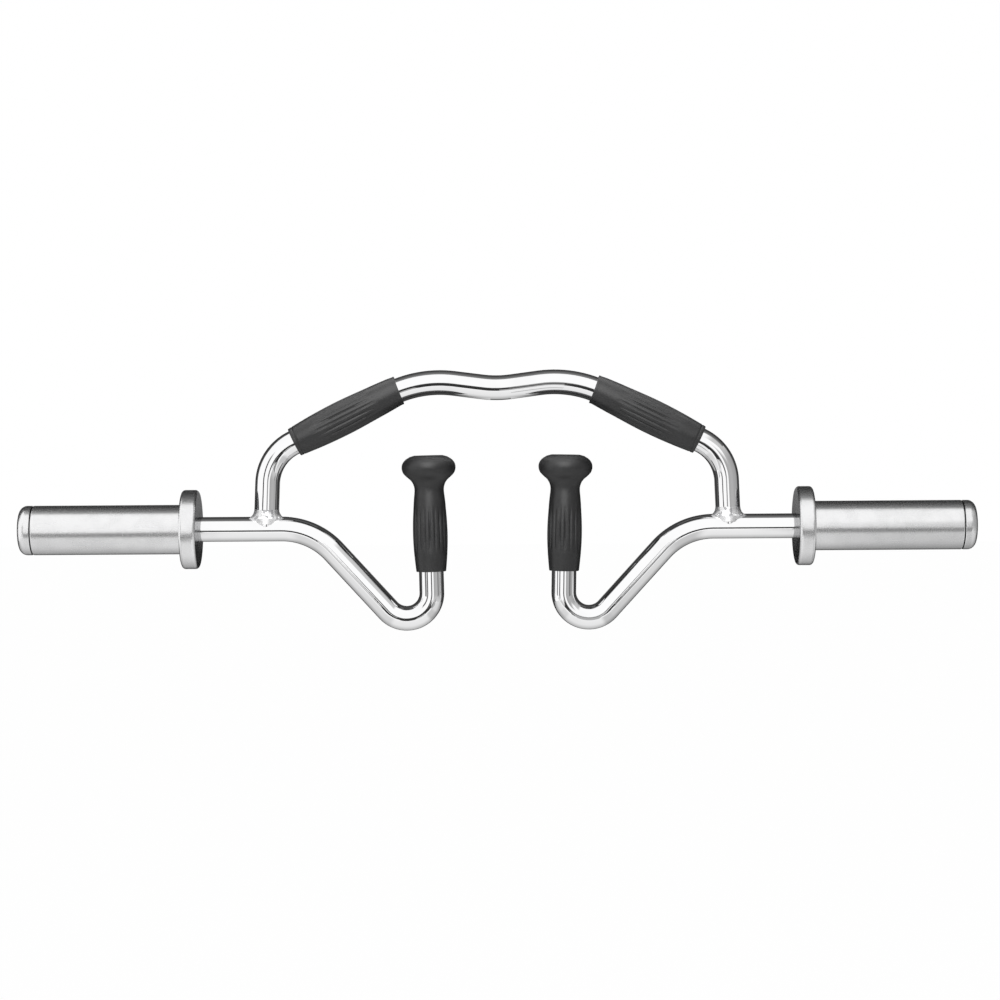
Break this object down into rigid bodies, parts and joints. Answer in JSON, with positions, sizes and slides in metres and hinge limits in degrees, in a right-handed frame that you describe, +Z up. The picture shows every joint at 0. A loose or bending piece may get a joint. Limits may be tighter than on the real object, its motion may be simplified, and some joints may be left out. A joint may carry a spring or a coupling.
{
  "type": "triceps bar",
  "caption": "Plate-loaded triceps and curl bar: upright knobbed hand grips inside a cambered top bar, between turning plate sleeves with collars.",
  "frame": {"origin": "midway between the two upright hand grips, on the common axis that both sleeves turn about", "axes": "+X along the sleeves towards the right one, +Z up to the cambered bar with the knobs on top, -Y towards the viewer of the picture"},
  "size_m": [0.968, 0.08, 0.2633],
  "materials": {
    "polished_chrome": "bright chrome plate over polished solid steel bar",
    "weld_chrome": "chrome plate over a rough weld fillet",
    "satin_chrome": "satin chrome, brushed round the sleeve",
    "grip_rubber": "matt black moulded rubber with a soft sheen",
    "bronze": "turned bearing bronze",
    "zinc_steel": "zinc plated steel"
  },
  "bodies": {
    "frame": {"cambered_bar": "polished_chrome", "left_handle_bar": "polished_chrome", "right_handle_bar": "polished_chrome", "left_weld_bead": "weld_chrome", "right_weld_bead": "weld_chrome", "left_hand_grip": "grip_rubber", "right_hand_grip": "grip_rubber", "left_curl_grip": "grip_rubber", "right_curl_grip": "grip_rubber", "left_thrust_washer": "bronze", "right_thrust_washer": "bronze", "left_retaining_washer": "zinc_steel", "right_retaining_washer": "zinc_steel", "left_lock_washer": "zinc_steel", "right_lock_washer": "zinc_steel", "left_retaining_bolt": "zinc_steel", "right_retaining_bolt": "zinc_steel"},
    "left_sleeve": {"left_sleeve_tube": "satin_chrome", "left_collar_flange": "satin_chrome", "left_end_cap": "satin_chrome", "left_inner_bushing": "bronze", "left_outer_bushing": "bronze"},
    "right_sleeve": {"right_sleeve_tube": "satin_chrome", "right_collar_flange": "satin_chrome", "right_end_cap": "satin_chrome", "right_inner_bushing": "bronze", "right_outer_bushing": "bronze"}
  },
  "joints": [
    {"name": "left_sleeve_spin", "type": "hinge", "parent": "frame", "child": "left_sleeve", "pos_m": [-0.3019, 0, 0], "axis": [1, 0, 0], "continuous": true},
    {"name": "right_sleeve_spin", "type": "hinge", "parent": "frame", "child": "right_sleeve", "pos_m": [0.3019, 0, 0], "axis": [1, 0, 0], "continuous": true}
  ]
}
